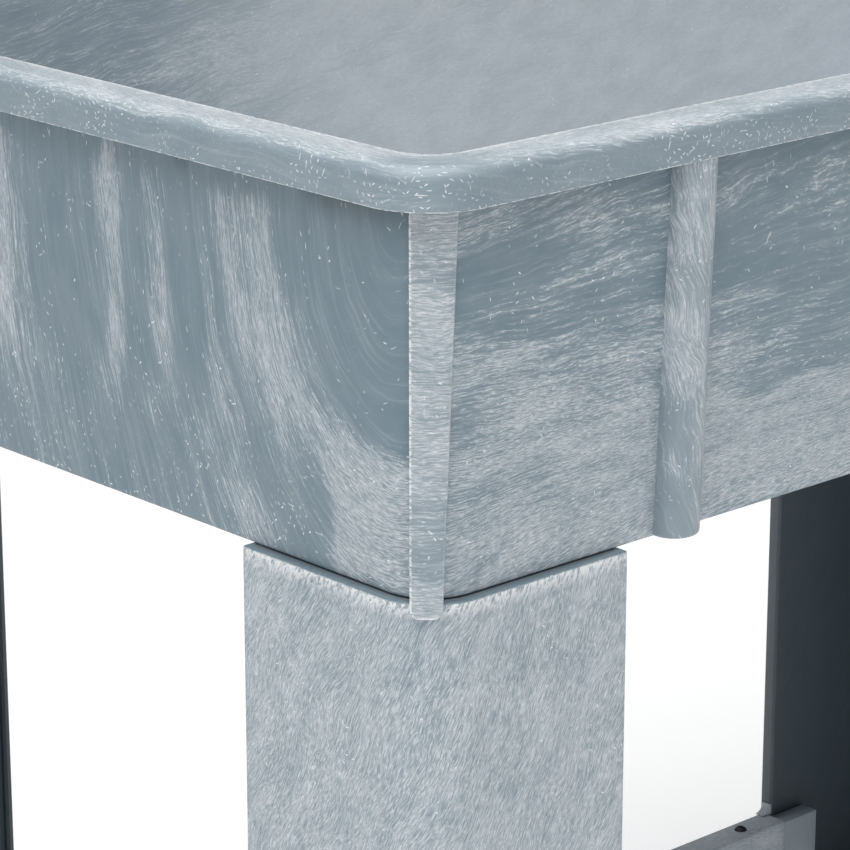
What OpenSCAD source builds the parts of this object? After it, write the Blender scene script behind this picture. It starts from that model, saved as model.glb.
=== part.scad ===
// Raised planter: a deep tray on four corner legs, with a rail between the feet of each long side.
// Millimetres. Z is up, X runs along the long side, and the origin is on the floor under the tray's centre.

/* [Overall] */
// Length over the rim
length = 1000; // [940:10:1060]
// Width over the rim
width = 565; // [540:5:600]
// Height from the floor to the top of the rim
height = 800; // [740:10:860]

/* [Rim] */
// Height of the rim's skirt
rim_h = 21; // [18:1:26]
// Width of the rim's flat top, from the skirt's outer face to the inner edge
rim_w = 24; // [23:0.5:26]
// Wall thickness of the rolled rim
rim_t = 5; // [4:0.5:6]
// Radius of the rim's outer top edge
rim_edge_r = 8; // [6:0.5:10]
// Radius of the rim's corners in plan
rim_corner_r = 36; // [34:1:42]

/* [Tray] */
// Depth of the wall below the rim
wall_h = 191; // [160:1:220]
// Distance from the rim's outer face in to the wall, just under the rim
wall_overhang = 14; // [13:0.5:15]
// How far the wall leans in between the rim and its bottom edge
wall_draft = 8; // [6:0.5:8.5]
// Thickness of the wall at its bottom edge
wall_t = 7; // [6:0.5:7.5]
// Height of the floor's upper face above the wall's bottom edge
floor_rise = 24; // [22:1:30]
// Thickness of the floor
floor_t = 6; // [5:0.5:7]
// Thickness of the stiffening webs under the floor
web_t = 4; // [3:0.5:5]
// Number of cells between the webs along the tray
cells_long = 10; // [10:2:12]
// Number of cells between the webs across the tray
cells_wide = 6; // [6:2:8]

/* [Ribs and corner beads] */
// Width of a rib on the long walls
rib_w = 26; // [22:1:30]
// Distance between two ribs
rib_pitch = 315; // [260:1:320]
// How far a rib leans in between the rim and the wall's bottom edge
rib_draft = 6.5; // [5:0.5:7]
// How far a corner bead stands out from the leg's corner
bead_t = 3.4; // [2.5:0.1:4]
// How much further out the bead lies at the rim
bead_lean = 2.4; // [1.5:0.1:3]
// How far a bead's tongue laps over the leg
tongue_lap = 6.7; // [5:0.1:9]

/* [Legs] */
// Distance from the rim's outer face in to the leg's outer face
leg_inset = 17; // [16:0.5:18]
// Width of each face of a leg
leg_w = 133; // [128:1:140]
// Thickness of the leg's skin
leg_t = 5; // [4:0.5:6]
// Outer radius of the leg's corner
leg_r = 32; // [31:0.5:33]
// Gap between the leg's top and the wall's bottom edge
leg_gap = 0.8; // [0.5:0.1:3]
// Depth of the lip along each free edge of a leg
lip_d = 10; // [8:0.5:12]
// Depth of a leg's top plate and foot plate
plate_d = 45; // [43:1:48]
// Thickness of a leg's top plate and foot plate
plate_t = 6; // [5:0.5:7]

/* [Rails] */
// Height of a rail's top face above the floor
rail_top = 77; // [70:1:85]
// Height of a rail
rail_h = 45; // [38:1:50]
// Width of a rail
rail_w = 23; // [21:1:26]
// Wall thickness of a rail
rail_t = 3.5; // [3:0.5:4]

/* [Fasteners and drains] */
// Diameter of a screw's shank
screw_d = 4.8; // [4:0.1:5]
// Diameter of a screw's head
head_d = 9.6; // [9:0.1:10]
// Height of a screw's head
head_h = 3; // [2.5:0.1:3.5]
// Diameter of the drain bore
drain_d = 30.6; // [26:0.1:34]
// Distance from the tray's centre to each drain
drain_x = 140; // [135:1:145]

/* [Hidden] */
$fn = 96;
eps = 0.01;
over = 20;

zinc = "#8d9ba5";
steel_dark = "#4a4f54";
plug_grey = "#2f3336";
rubber_black = "#1c1c1c";

// Levels
rim_bottom = height - rim_h;
tray_bottom = rim_bottom - wall_h;
floor_top = tray_bottom + floor_rise;
floor_bottom = floor_top - floor_t;
web_bottom = tray_bottom + 2;
leg_top = tray_bottom - leg_gap;
tongue_end = leg_top - tongue_lap;

// Inner face of the lower wall, where the leg's spigot fits
socket_inset = wall_overhang + wall_draft + wall_t + 1;
socket_r = 18;
inner_axis = 46;
socket_size = leg_inset + leg_w + 6;

// Spigot on top of each leg
spigot_gap = 1;
spigot_inset = socket_inset + spigot_gap;
spigot_t = 4;
spigot_h = floor_bottom - leg_top - 2;
spigot_end = 5;

// Bosses that carry the tray on the legs, one in the corner and one on each arm
boss_d = 14;
boss_near = leg_inset + 30;
boss_far = leg_inset + leg_w - 20;
boss_spots = [[boss_near, boss_near], [boss_far, boss_near], [boss_near, boss_far]];
pilot_gap = 0.1;
clear_gap = 0.6;
screw_len = 22;

// Bead profile, measured from the corner's centre plane at the rim and at the tongue
leg_axis = leg_inset + leg_r;
bead_left = 8.2;
bead_right_top = 14.7;
bead_right_end = 7.3;
tongue_r = 5;
tongue_gap = 0.3;
bead_reach = 40;

// Ribs
rib_r = rib_w / 2;
rib_back = 6.5;
rib_face = 1;
rib_lean = atan(rib_draft / wall_h);

// Rail stub on a leg, and the rail that slides over it
rail_inset = leg_inset + 2.5;
rail_gap = 1;
stub_gap = 0.4;
stub_len = 55;
stub_root = 40;
stub_back = 3;
gusset = 8;
rail_screw_u = leg_inset + leg_w + 37.6;
rail_screw_len = 20;
rail_webs = 5;
rail_start = leg_inset + leg_w + rail_gap;
rail_len = length - 2 * rail_start;
rail_floor = rail_top - rail_h;

// Drain plug
hub_d = 54;
plug_gap = 0.3;
flange_d = 46;
flange_t = 4;
seal_t = 1.9;
seal_seat = web_bottom - flange_t - 2;
grip_w = 26;
grip_t = 5;
grip_h = 10;

// Wall's inset from the rim's outer face at a height
function wall_inset(z) = wall_overhang + (rim_bottom - z) * wall_draft / wall_h;

// Places a corner's own shape, drawn from the rim's outer corner at the front left
module at_corner(right, back) {
    mirror([right, 0, 0])
        mirror([0, back, 0])
            translate([-length / 2, -width / 2, 0]) children();
}

module at_corners() {
    for (right = [0, 1], back = [0, 1])
        at_corner(right, back) children();
}

// Plate with rounded corners, centred in plan
module rounded_plate(l, w, r, h) {
    linear_extrude(h) {
        square([l - 2 * r, w], center = true);
        square([l, w - 2 * r], center = true);
        for (x = [-1, 1], y = [-1, 1])
            translate([x * (l / 2 - r), y * (w / 2 - r)]) circle(r);
    }
}

// Block whose four sides lean between two levels, its corners rounded about fixed upright axes
module drafted_block(low, high, inset_low, inset_high, axis) {
    for (turn = [0, 1]) {
        run = turn == 0 ? length : width;
        half = (turn == 0 ? width : length) / 2;
        rotate([0, 0, 90 * turn]) translate([axis - run / 2, 0, 0]) rotate([90, 0, 90])
            linear_extrude(run - 2 * axis)
                polygon([[inset_low - half, low], [half - inset_low, low],
                    [half - inset_high, high], [inset_high - half, high]]);
    }
    at_corners() translate([axis, axis, low])
        cylinder(r1 = axis - inset_low, r2 = axis - inset_high, h = high - low);
}

// L-shaped band round a corner, rounded on the outside
module l_band(inset, thick, arm, r) {
    translate([inset + r, inset]) square([arm - r, thick]);
    translate([inset, inset + r]) square([thick, arm - r]);
    translate([inset + r, inset + r]) intersection() {
        difference() {
            circle(r);
            circle(r - thick);
        }
        translate([-r, -r]) square(r);
    }
}

// L-shaped plate that is deeper than its corner radius
module l_plate(inset, depth, arm, r) {
    difference() {
        union() {
            translate([inset + r, inset]) square([arm - r, arm]);
            translate([inset, inset + r]) square([arm, arm - r]);
            translate([inset + r, inset + r]) circle(r);
        }
        translate([inset + depth, inset + depth]) square(arm);
    }
}

// Section of the rolled rim, from its outer face inwards
module rim_section() {
    reach = rim_w + 10;
    translate([rim_edge_r, height - rim_t]) square([reach - rim_edge_r, rim_t]);
    translate([0, rim_bottom]) square([rim_t, rim_h - rim_edge_r]);
    translate([rim_edge_r, height - rim_edge_r]) intersection() {
        difference() {
            circle(rim_edge_r);
            circle(rim_edge_r - rim_t);
        }
        translate([-rim_edge_r, 0]) square(rim_edge_r);
    }
}

module rim() {
    side = length - 2 * rim_corner_r;
    end = width - 2 * rim_corner_r;
    for (back = [0, 1]) mirror([0, back, 0])
        translate([-side / 2, -width / 2, 0]) rotate([90, 0, 90]) linear_extrude(side) rim_section();
    for (right = [0, 1]) mirror([right, 0, 0])
        translate([-length / 2, end / 2, 0]) rotate([90, 0, 0]) linear_extrude(end) rim_section();
    at_corners() translate([rim_corner_r, rim_corner_r, 0]) rotate([0, 0, 180])
        rotate_extrude(angle = 90) translate([rim_corner_r, 0]) mirror([1, 0]) rim_section();
}

// Vertical bead at a corner, whose tongue laps over the leg below it
module corner_bead() {
    top = height - rim_t;
    knee = tongue_end + tongue_r;
    bead_r = leg_r + tongue_gap + bead_t;
    difference() {
        intersection() {
            translate([leg_axis, leg_axis, tongue_end])
                cylinder(r1 = bead_r, r2 = bead_r + bead_lean, h = top - tongue_end);
            translate([leg_axis, leg_axis, 0]) rotate([0, 0, -45]) rotate([90, 0, 0]) linear_extrude(bead_reach) {
                polygon([[-bead_left, top], [bead_right_top, top], [bead_right_end, knee], [-bead_left, knee]]);
                translate([tongue_r - bead_left, knee]) circle(tongue_r);
                translate([bead_right_end - tongue_r, knee]) circle(tongue_r);
                translate([tongue_r - bead_left, tongue_end])
                    square([bead_left + bead_right_end - 2 * tongue_r, tongue_r]);
            }
        }
        translate([leg_axis, leg_axis, tongue_end - over])
            cylinder(r = leg_r + tongue_gap, h = tray_bottom - tongue_end + over);
    }
}

// Half-round rib on the front wall
module rib() {
    difference() {
        translate([0, -width / 2 + rib_face + rib_r, rim_bottom]) rotate([rib_lean, 0, 0])
            translate([0, 0, -wall_h - over]) linear_extrude(wall_h + over + rim_h / 2) {
                circle(rib_r);
                translate([-rib_r, 0]) square([rib_w, rib_back]);
            }
        translate([-rib_w, -width / 2 - over, tray_bottom - 3 * over]) cube([2 * rib_w, 5 * over, 3 * over]);
    }
}

// Webs under the floor, left out where the legs' spigots go
module floor_webs() {
    inner_l = length - 2 * socket_inset;
    inner_w = width - 2 * socket_inset;
    web_h = floor_bottom - web_bottom + eps;
    translate([0, 0, web_bottom]) difference() {
        union() {
            for (i = [1 : cells_long - 1])
                translate([-inner_l / 2 + i * inner_l / cells_long - web_t / 2, -inner_w / 2 - 1, 0])
                    cube([web_t, inner_w + 2, web_h]);
            for (i = [1 : cells_wide - 1])
                translate([-inner_l / 2 - 1, -inner_w / 2 + i * inner_w / cells_wide - web_t / 2, 0])
                    cube([inner_l + 2, web_t, web_h]);
            at_corners() translate([socket_inset, socket_inset, 0])
                cube([socket_size + web_t - socket_inset, socket_size + web_t - socket_inset, web_h]);
        }
        at_corners() translate([-1, -1, -over]) cube([socket_size + 1, socket_size + 1, 4 * over]);
    }
}

module planter_tray() {
    inner_low = wall_inset(floor_top) + wall_t;
    color(zinc) difference() {
        union() {
            difference() {
                union() {
                    drafted_block(tray_bottom, height - rim_t, wall_inset(tray_bottom),
                        wall_inset(height - rim_t), leg_axis);
                    rim();
                    at_corners() corner_bead();
                    for (back = [0, 1], i = [-1, 0, 1])
                        mirror([0, back, 0]) translate([i * rib_pitch, 0, 0]) rib();
                }
                drafted_block(floor_top, height + eps, inner_low, rim_w, inner_axis);
                translate([0, 0, tray_bottom - eps])
                    rounded_plate(length - 2 * socket_inset, width - 2 * socket_inset, socket_r,
                        floor_bottom - tray_bottom + eps);
            }
            floor_webs();
            at_corners() for (p = boss_spots)
                translate([p[0], p[1], leg_top]) cylinder(d = boss_d, h = floor_bottom - leg_top + eps);
            for (x = [-drain_x, drain_x])
                translate([x, 0, web_bottom]) cylinder(d = hub_d, h = floor_bottom - web_bottom + eps);
        }
        at_corners() for (p = boss_spots)
            translate([p[0], p[1], leg_top - eps]) cylinder(d = screw_d + pilot_gap, h = screw_len - plate_t + 1);
        for (x = [-drain_x, drain_x])
            translate([x, 0, web_bottom - eps]) cylinder(d = drain_d, h = floor_top - web_bottom + 2 * eps);
    }
}

// Stub that a rail slides over, with the small gusset above it
module rail_stub() {
    inner = rail_w - 2 * rail_t - 2 * stub_gap;
    edge = leg_inset + leg_w;
    low = rail_floor + 2;
    high = rail_top - rail_t - stub_gap;
    v = rail_inset + rail_t + stub_gap;
    translate([edge - stub_back, v, low]) cube([stub_len + stub_back, inner, high - low]);
    translate([edge - stub_root, leg_inset + leg_t - eps, low])
        cube([stub_root, v + inner - leg_inset - leg_t, high - low]);
    difference() {
        translate([edge - eps, rail_inset, rail_top + stub_gap]) cube([gusset, lip_d - 2.5, gusset]);
        translate([edge + gusset, rail_inset - 1, rail_top + stub_gap + gusset])
            rotate([-90, 0, 0]) cylinder(r = gusset - 1, h = lip_d);
    }
}

// One leg, drawn from the rim's outer corner
module leg() {
    color(zinc) difference() {
        union() {
            linear_extrude(leg_top) {
                l_band(leg_inset, leg_t, leg_w, leg_r);
                translate([leg_inset + leg_w - leg_t, leg_inset]) square([leg_t, lip_d]);
                translate([leg_inset, leg_inset + leg_w - leg_t]) square([lip_d, leg_t]);
            }
            for (z = [0, leg_top - plate_t])
                translate([0, 0, z]) linear_extrude(plate_t) l_plate(leg_inset, plate_d, leg_w, leg_r);
            translate([0, 0, leg_top - eps]) linear_extrude(spigot_h)
                l_band(spigot_inset, spigot_t, leg_w - spigot_inset + leg_inset - spigot_end, socket_r - spigot_gap);
            rail_stub();
        }
        for (p = boss_spots)
            translate([p[0], p[1], leg_top - plate_t - 1]) cylinder(d = screw_d + clear_gap, h = plate_t + 2);
        translate([rail_screw_u, rail_inset + rail_w / 2, rail_top - rail_screw_len - 1])
            cylinder(d = screw_d + pilot_gap, h = rail_screw_len + 2);
    }
}

// Rail of the front side: a channel that is open below
module rail() {
    mouth = rail_start;
    inner = rail_w - 2 * rail_t;
    color(zinc) translate([-length / 2 + mouth, -width / 2 + rail_inset, rail_floor]) difference() {
        union() {
            difference() {
                cube([rail_len, rail_w, rail_h]);
                translate([-1, rail_t, -1]) cube([rail_len + 2, inner, rail_h - rail_t + 1]);
            }
            for (i = [0 : rail_webs - 1])
                translate([stub_len + 5 + i * (rail_len - 2 * stub_len - 10 - rail_t) / (rail_webs - 1), rail_t - eps, 4])
                    cube([rail_t, inner + 2 * eps, rail_h - rail_t - 4 + eps]);
        }
        for (x = [rail_screw_u - mouth, rail_len - rail_screw_u + mouth])
            translate([x, rail_w / 2, rail_h - rail_t - 1]) cylinder(d = screw_d + clear_gap, h = rail_t + 2);
    }
}

// Pan-head screw that points down, its head resting on the level 0
module screw(len) {
    dome_r = (head_d * head_d / 4 + head_h * head_h) / (2 * head_h);
    slot_l = head_d / 2;
    difference() {
        union() {
            intersection() {
                translate([0, 0, head_h - dome_r]) sphere(dome_r);
                cylinder(d = head_d, h = head_h);
            }
            translate([0, 0, 3 - len]) cylinder(d = screw_d, h = len - 3 + eps);
            translate([0, 0, -len]) cylinder(d1 = 1.5, d2 = screw_d, h = 3);
        }
        for (a = [0, 90])
            rotate([0, 0, a]) translate([-slot_l / 2, -0.5, head_h - 1.4]) cube([slot_l, 1, 2]);
    }
}

module tray_screws() {
    color(steel_dark) at_corners() for (p = boss_spots)
        translate([p[0], p[1], leg_top - plate_t]) rotate([180, 0, 0]) screw(screw_len);
}

module rail_screws() {
    color(steel_dark) at_corners()
        translate([rail_screw_u, rail_inset + rail_w / 2, rail_top]) screw(rail_screw_len);
}

// Plug that pushes into a drain bore from below, with a bar to pull it by
module drain_plug(x) {
    color(plug_grey) translate([x, 0, seal_seat]) difference() {
        union() {
            cylinder(d = flange_d, h = flange_t);
            cylinder(d = drain_d - 2 * plug_gap, h = floor_top - seal_seat - 1);
            translate([-grip_w / 2, -grip_t / 2, -grip_h]) cube([grip_w, grip_t, grip_h + eps]);
        }
        translate([0, 0, flange_t]) cylinder(d = drain_d - 8, h = floor_top);
    }
}

// Flat ring between a plug's flange and the hub round the drain
module plug_seal(x) {
    color(rubber_black) translate([x, 0, seal_seat + flange_t]) difference() {
        cylinder(d = flange_d, h = seal_t);
        translate([0, 0, -1]) cylinder(d = drain_d - 2 * plug_gap + 0.2, h = seal_t + 2);
    }
}

module leg_front_left() { at_corner(0, 0) leg(); }
module leg_front_right() { at_corner(1, 0) leg(); }
module leg_back_left() { at_corner(0, 1) leg(); }
module leg_back_right() { at_corner(1, 1) leg(); }
module rail_front() { rail(); }
module rail_back() { mirror([0, 1, 0]) rail(); }
module drain_plug_left() { drain_plug(-drain_x); }
module drain_plug_right() { drain_plug(drain_x); }
module plug_seal_left() { plug_seal(-drain_x); }
module plug_seal_right() { plug_seal(drain_x); }

planter_tray();
leg_front_left();
leg_front_right();
leg_back_left();
leg_back_right();
rail_front();
rail_back();
tray_screws();
rail_screws();
drain_plug_left();
drain_plug_right();
plug_seal_left();
plug_seal_right();
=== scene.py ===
"""Looks of the raised planter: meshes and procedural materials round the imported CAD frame. Metres, Z up."""
import math

import bmesh
import bpy
import numpy as np
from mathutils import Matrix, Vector, noise


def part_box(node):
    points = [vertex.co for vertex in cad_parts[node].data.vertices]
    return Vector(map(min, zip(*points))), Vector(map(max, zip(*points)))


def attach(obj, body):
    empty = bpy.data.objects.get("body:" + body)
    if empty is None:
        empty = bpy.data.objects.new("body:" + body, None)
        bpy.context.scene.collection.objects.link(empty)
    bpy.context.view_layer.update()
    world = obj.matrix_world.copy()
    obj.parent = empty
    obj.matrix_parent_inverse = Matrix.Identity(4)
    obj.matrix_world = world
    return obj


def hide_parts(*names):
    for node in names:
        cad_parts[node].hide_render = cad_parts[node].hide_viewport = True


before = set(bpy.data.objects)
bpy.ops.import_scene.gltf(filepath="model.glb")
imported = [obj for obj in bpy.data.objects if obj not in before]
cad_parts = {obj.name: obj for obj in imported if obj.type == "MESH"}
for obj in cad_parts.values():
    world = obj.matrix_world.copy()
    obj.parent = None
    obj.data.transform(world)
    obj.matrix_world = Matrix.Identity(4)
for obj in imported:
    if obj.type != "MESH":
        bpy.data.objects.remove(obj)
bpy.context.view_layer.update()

MM = 0.001
NOISE_SEED = 1794954480
noise.seed_set(NOISE_SEED)  # without a seed, noise_vector takes one from the clock

# Sizes that the frame's boxes give
tray_low, tray_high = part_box("planter_tray")
leg_low, leg_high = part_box("leg_front_left")
rail_low, rail_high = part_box("rail_front")
LENGTH = tray_high.x - tray_low.x
WIDTH = tray_high.y - tray_low.y
HEIGHT = tray_high.z
TONGUE_END = tray_low.z
LEG_INSET = leg_low.x + LENGTH / 2
LEG_ARM = leg_high.y - leg_low.y

# Sizes that the boxes don't give, as in the CAD source
RIM_H = 21 * MM
RIM_W = 24 * MM
RIM_T = 5 * MM
RIM_EDGE = 8 * MM
RIM_CORNER = 36 * MM
WALL_H = 191 * MM
WALL_OVERHANG = 14 * MM
WALL_DRAFT = 8 * MM
WALL_T = 7 * MM
FLOOR_RISE = 24 * MM
FLOOR_T = 6 * MM
INNER_AXIS = 46 * MM
LEG_R = 32 * MM
LEG_T = 5 * MM
LEG_GAP = 0.8 * MM
LIP_D = 10 * MM
PLATE_D = 45 * MM
PLATE_T = 6 * MM
BEAD_T = 3.4 * MM
BEAD_LEAN = 2.4 * MM
BEAD_LEFT = 8.2 * MM
BEAD_RIGHT_TOP = 14.7 * MM
BEAD_RIGHT_END = 7.3 * MM
TONGUE_R = 5 * MM
TONGUE_GAP = 0.3 * MM
RIB_PITCH = 315 * MM
RIB_R = 13 * MM
RIB_FACE = 1 * MM
RIB_BACK = 6.5 * MM
RIB_DRAFT = 6.5 * MM
RAIL_T = 3.5 * MM
STUB_LEN = 55 * MM
STUB_ROOT = 40 * MM
STUB_GAP = 0.4 * MM
GUSSET = 8 * MM
WEB_T = 4 * MM
CELLS_LONG = 10
CELLS_WIDE = 6
HUB_D = 54 * MM
DRAIN_D = 30.6 * MM
DRAIN_X = 140 * MM
BOSS_D = 14 * MM
SCREW_HOLE = 4.9 * MM

RIM_BOTTOM = HEIGHT - RIM_H
TRAY_BOTTOM = RIM_BOTTOM - WALL_H
FLOOR_TOP = TRAY_BOTTOM + FLOOR_RISE
FLOOR_BOTTOM = FLOOR_TOP - FLOOR_T
WEB_BOTTOM = TRAY_BOTTOM + 2 * MM
LEG_TOP = TRAY_BOTTOM - LEG_GAP
LEG_AXIS = LEG_INSET + LEG_R
SOCKET_INSET = WALL_OVERHANG + WALL_DRAFT + WALL_T + 1 * MM
SOCKET_SIZE = LEG_INSET + LEG_ARM + 6 * MM
SPIGOT_INSET = SOCKET_INSET + 1 * MM
RAIL_INSET = rail_low.y + WIDTH / 2
RAIL_W = rail_high.y - rail_low.y
RAIL_H = rail_high.z - rail_low.z
RAIL_TOP = rail_high.z
SHELL_TOP = HEIGHT - RIM_T
STEP = 6 * MM

# Softened edges, and screw bosses measured from the leg's faces
WALL_EDGE = 1.2 * MM
LIP_EDGE = 0.8 * MM
RIM_LOW_EDGE = 0.7 * MM
RIM_INNER_EDGE = 1.1 * MM
FLOOR_FILLET = 7 * MM
BEAD_EDGE = 1.2 * MM
RIB_EDGE = 2.2 * MM
LEG_EDGE = 1.2 * MM
BOSS_FROM_CORNER = 30 * MM
BOSS_FROM_END = 20 * MM
SHARP_ANGLE = math.radians(35)

# Swirl of a short wall. Places are distances d along it from one rim corner, and heights above its bottom.
ARC_D = 35 * MM
ARC_H = 185 * MM
ARC_WIDE = 0.72
ARC_DEEP = 0.85
COLUMNS = ((189, 18, -0.27), (229, 14, -0.24), (246, 12, 0.22), (300, 26, -0.20), (352, 30, 0.16),
           (402, 24, -0.24), (470, 40, 0.12))  # middle and half width in mm, and bias

# Tones are (bias, strokes, softness, flash): bias turns the swirl pale (+) or dark (-), and a bias below about
# -0.35 mixes in a painted shade colour; strokes is the share of pale strokes, softness fades the swirl out and
# flash frays an edge white (moulding flash, and on the rim's inner edge a painted highlight).
FLOOR_TONE = (0.02, 0.2, 1.0, 0.0)
# painted shade: the tray's underside, the inside of the rim and the webs under the floor are toned darker than
# its inner floor
UNDERSIDE_SHADE_TONE = (-0.15, 0.2, 0.6, 0.0)
HIDDEN_SHADE_TONE = (-0.3, 0.0, 0.7, 0.0)
WEB_SHADE_TONE = (-0.3, 0.1, 0.6, 0.0)
# painted shade on the leg's ends and inside
LEG_END_SHADE_TONE = (-0.44, 0.1, 0.1, 0.0)
LEG_INSIDE_SHADE_TONE = (-0.75, 0.0, 0.3, 0.0)
# painted shade inside the rail's channel
RAIL_INSIDE_SHADE_TONE = (-0.6, 0.1, 0.6, 0.0)


# ---------------------------------------------------------------- meshes

def add_object(name, data):
    obj = bpy.data.objects.new(name, data)
    bpy.context.scene.collection.objects.link(obj)
    return obj


def new_mesh(name, verts, faces):
    mesh = bpy.data.meshes.new(name)
    mesh.from_pydata([tuple(v) for v in verts], [], faces)
    mesh.update()
    return add_object(name, mesh)


def smooth(obj):
    mesh = obj.data
    mesh.polygons.foreach_set("use_smooth", [True] * len(mesh.polygons))
    mesh.set_sharp_from_angle(angle=SHARP_ANGLE)


def outward(obj):
    """Turns every face of a closed mesh outward."""
    bm = bmesh.new()
    bm.from_mesh(obj.data)
    bmesh.ops.recalc_face_normals(bm, faces=bm.faces)
    bm.to_mesh(obj.data)
    bm.free()


def smoothstep(low, high, x):
    t = np.clip((x - low) / (high - low), 0.0, 1.0)
    return t * t * (3 - 2 * t)


def bump(x, middle, half):
    """1 at the middle, falling smoothly to 0 at half a width to either side."""
    return smoothstep(half, 0.0, np.abs(x - middle))


def curl(points, size, seed):
    """Smooth displacement of the flow at each point, as two columns of about -1 to 1."""
    shift = Vector((seed, 2.3 * seed, -1.7 * seed))
    out = np.empty((len(points), 2))
    for i, p in enumerate(points):
        q = Vector(p) / size + shift
        a = noise.noise_vector(q)
        b = noise.noise_vector(q * 2.7)
        out[i] = a.x + 0.45 * b.x, a.y + 0.45 * b.y
    return out


def closed(ring):
    """A ring's points or values, with the first one again at the end."""
    ring = np.array(ring)
    return np.concatenate([ring, ring[:1]])


def paint_rows(u, v, bias, strokes=0.0, soft=0.0, flash=0.0):
    """Flow (u, v) and tone, one row for each point. Any of them may be a single number."""
    return np.column_stack(np.broadcast_arrays(u, v, bias, strokes, soft, flash))


def store_paint(obj, corner_values):
    """Writes the flow (2 columns) and the tone (4 columns) of every face corner."""
    flow = obj.data.uv_layers.new(name="flow")
    flow.data.foreach_set("uv", np.ascontiguousarray(corner_values[:, :2]).ravel())
    tone = obj.data.color_attributes.new("tone", "FLOAT_COLOR", "CORNER")
    tone.data.foreach_set("color", np.ascontiguousarray(corner_values[:, 2:]).ravel())


def loft(name, rings, paint):
    """Closed skin over rings of points. paint(band, ring) gives the flow and tone of a ring as the faces of
    one band see them; band -1 is the first cap and the last band is the last cap."""
    rings = [np.array(r) for r in rings]
    rows, cols = len(rings), len(rings[0])
    faces, values = [], []
    for band in range(rows - 1):
        low, high = paint(band, band), paint(band, band + 1)
        for j in range(cols):
            n = (j + 1) % cols
            a, b = band * cols, (band + 1) * cols
            faces.append((a + j, a + n, b + n, b + j))
            values += [low[j], low[j + 1], high[j + 1], high[j]]
    first, last = paint(-1, 0), paint(rows - 1, rows - 1)
    faces.append(tuple(range(cols))[::-1])
    values += list(first[:cols])[::-1]
    faces.append(tuple(range((rows - 1) * cols, rows * cols)))
    values += list(last[:cols])
    obj = new_mesh(name, np.vstack(rings), faces)
    store_paint(obj, np.array(values))
    outward(obj)
    smooth(obj)
    return obj


def planar_paint(obj, tone):
    """Flow laid flat on the larger sides of a small plain part."""
    mesh = obj.data
    values = np.zeros((len(mesh.loops), 6))
    values[:, 2:] = tone
    for face in mesh.polygons:
        n = [abs(c) for c in face.normal]
        axes = (0, 1) if n[2] >= max(n[0], n[1]) else (1, 2) if n[0] > n[1] else (0, 2)
        for i in face.loop_indices:
            co = mesh.vertices[mesh.loops[i].vertex_index].co
            values[i, :2] = co[axes[0]], co[axes[1]]
    store_paint(obj, values)


def bars(name, boxes, edge, tone):
    """Softened bars, each given by its low and high corner."""
    bm = bmesh.new()
    for low, high in boxes:
        made = bmesh.ops.create_cube(bm, size=1.0)["verts"]
        for v in made:
            v.co = Vector([low[i] + (v.co[i] + 0.5) * (high[i] - low[i]) for i in range(3)])
        own = {e for v in made for e in v.link_edges}
        bmesh.ops.bevel(bm, geom=list(own), offset=edge, segments=2, affect="EDGES", profile=0.5)
    mesh = bpy.data.meshes.new(name)
    bm.to_mesh(mesh)
    bm.free()
    obj = add_object(name, mesh)
    planar_paint(obj, tone)
    smooth(obj)
    return obj


def lathe(name, spots, profile, tone, count):
    """Turned rings about upright axes, from a closed profile of radius and height."""
    verts, faces = [], []
    turns = [2 * math.pi * i / count for i in range(count)]
    rows = len(profile)
    for cx, cy in spots:
        base = len(verts)
        for r, z in profile:
            verts += [(cx + r * math.cos(a), cy + r * math.sin(a), z) for a in turns]
        for k in range(rows):
            here, there = base + k * count, base + (k + 1) % rows * count
            for i in range(count):
                n = (i + 1) % count
                faces.append((here + i, here + n, there + n, there + i))
    obj = new_mesh(name, verts, faces)
    outward(obj)
    planar_paint(obj, tone)
    smooth(obj)
    return obj


def ring_profile(inner, outer, low, high, edge):
    """Closed section of a plain ring with softened edges."""
    return [(inner, low + edge), (inner + edge, low), (outer - edge, low), (outer, low + edge),
            (outer, high - edge), (outer - edge, high), (inner + edge, high), (inner, high - edge)]


def arc(cx, cy, r, start, end, count):
    """Points on a circle between two angles in degrees, both ends included."""
    return [(cx + r * math.cos(math.radians(start + (end - start) * i / count)),
             cy + r * math.sin(math.radians(start + (end - start) * i / count))) for i in range(count + 1)]


def spaced(p, q, count):
    """Evenly spaced points from p towards q, which is left out."""
    return [(p[0] + (q[0] - p[0]) * i / count, p[1] + (q[1] - p[1]) * i / count) for i in range(count)]


def straight(p, q, step):
    return spaced(p, q, max(1, round(math.dist(p, q) / step)))


# ---------------------------------------------------------------- tray

N_LONG = round((LENGTH - 2 * RIM_CORNER) / STEP / 2)
N_SHORT = round((WIDTH - 2 * RIM_CORNER) / STEP)
N_ARC = 12


def tray_ring(inset, r, z):
    """Rounded rectangle inset from the rim's outer face, anticlockwise from the middle of the back side."""
    hx, hy = LENGTH / 2 - inset, WIDTH / 2 - inset
    ax, ay = hx - r, hy - r

    def turn(cx, cy, start):
        return arc(cx, cy, r, start, start + 90, N_ARC)[:-1]

    points = spaced((0, hy), (-ax, hy), N_LONG) + turn(-ax, ay, 90)
    points += spaced((-hx, ay), (-hx, -ay), N_SHORT) + turn(-ax, -ay, 180)
    points += spaced((-ax, -hy), (ax, -hy), 2 * N_LONG) + turn(ax, -ay, 270)
    points += spaced((hx, -ay), (hx, ay), N_SHORT) + turn(ax, ay, 0)
    points += spaced((ax, hy), (0, hy), N_LONG)
    return [(x, y, z) for x, y in points]


def wall_inset(z):
    """Inset of the leaning wall's outer face at a height."""
    return WALL_OVERHANG + (RIM_BOTTOM - z) * WALL_DRAFT / WALL_H


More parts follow.
